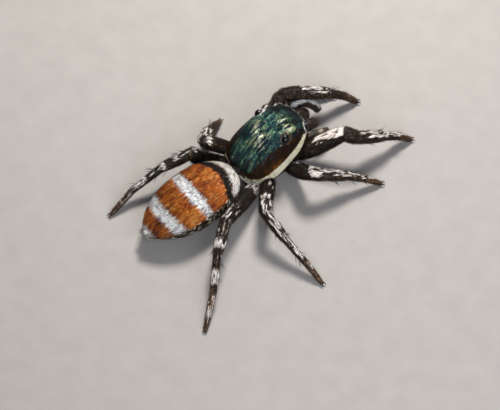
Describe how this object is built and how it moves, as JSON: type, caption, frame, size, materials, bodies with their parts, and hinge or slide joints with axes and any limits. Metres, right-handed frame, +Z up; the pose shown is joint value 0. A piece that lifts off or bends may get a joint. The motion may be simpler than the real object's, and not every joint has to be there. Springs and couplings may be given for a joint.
{
  "type": "jumping spider, salticus palpalis",
  "caption": "Still, life-size jumping spider standing on its feet, with a metallic green carapace and a rust abdomen crossed by white bands.",
  "frame": {"origin": "bottom centre of the bounding box, on the floor under the feet", "axes": "+Y towards the face, along the length of the body; +X to the animal's right; +Z up"},
  "size_m": [0.0062, 0.0086, 0.0017],
  "materials": {
    "carapace": "dark cuticle under iridescent green and blue scales",
    "abdomen": "short flat scale hairs in rust, white and black bands",
    "underside": "dark brown cuticle with sparse pale hairs",
    "leg": "dark brown cuticle with white scales",
    "palp": "brown cuticle with long white scales above",
    "mouthpart": "polished brown cuticle",
    "claw": "hard dark red-brown cuticle",
    "eye": "black lens, smooth and wet-looking"
  },
  "bodies": {
    "root": {"abdomen": "abdomen", "carapace": "carapace", "chelicera_left": "mouthpart", "chelicera_right": "mouthpart", "eye_anterior_lateral_left": "eye", "eye_anterior_lateral_right": "eye", "eye_anterior_median_left": "eye", "eye_anterior_median_right": "eye", "eye_posterior_lateral_left": "eye", "eye_posterior_lateral_right": "eye", "eye_posterior_median_left": "eye", "eye_posterior_median_right": "eye", "fang_left": "claw", "fang_right": "claw", "leg_1_left": "leg", "leg_1_right": "leg", "leg_2_left": "leg", "leg_2_right": "leg", "leg_3_left": "leg", "leg_3_right": "leg", "leg_4_left": "leg", "leg_4_right": "leg", "palp_left": "palp", "palp_right": "palp", "pedicel": "underside", "spinneret_front_left": "underside", "spinneret_front_right": "underside", "spinneret_rear_left": "underside", "spinneret_rear_right": "underside", "sternum": "underside"}
  },
  "joints": []
}
